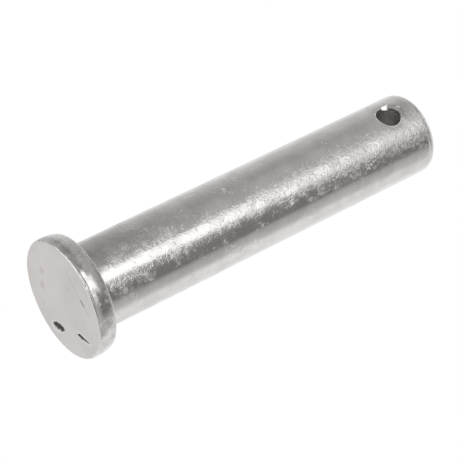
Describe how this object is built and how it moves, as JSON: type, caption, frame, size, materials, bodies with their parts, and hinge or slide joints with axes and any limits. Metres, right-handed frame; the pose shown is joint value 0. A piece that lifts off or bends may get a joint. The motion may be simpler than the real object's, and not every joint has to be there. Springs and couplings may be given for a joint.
{
  "type": "blade pin",
  "caption": "Headed round steel pin with a flat, barrel-edged head, a plain shank, a rounded tip and a deburred cross hole for a split pin.",
  "frame": {"origin": "centre of the head's outer face, on which the pin stands", "axes": "+Z along the pin's axis from the head to the tip, X along the cross hole"},
  "size_m": [0.02, 0.02, 0.071],
  "materials": {
    "zinc_plated_steel": "bright zinc plate over cold-drawn steel, with fine drawing lines, mottled handling wear and a plain matt head face"
  },
  "bodies": {
    "root": {"blade_pin": "zinc_plated_steel"}
  },
  "joints": []
}
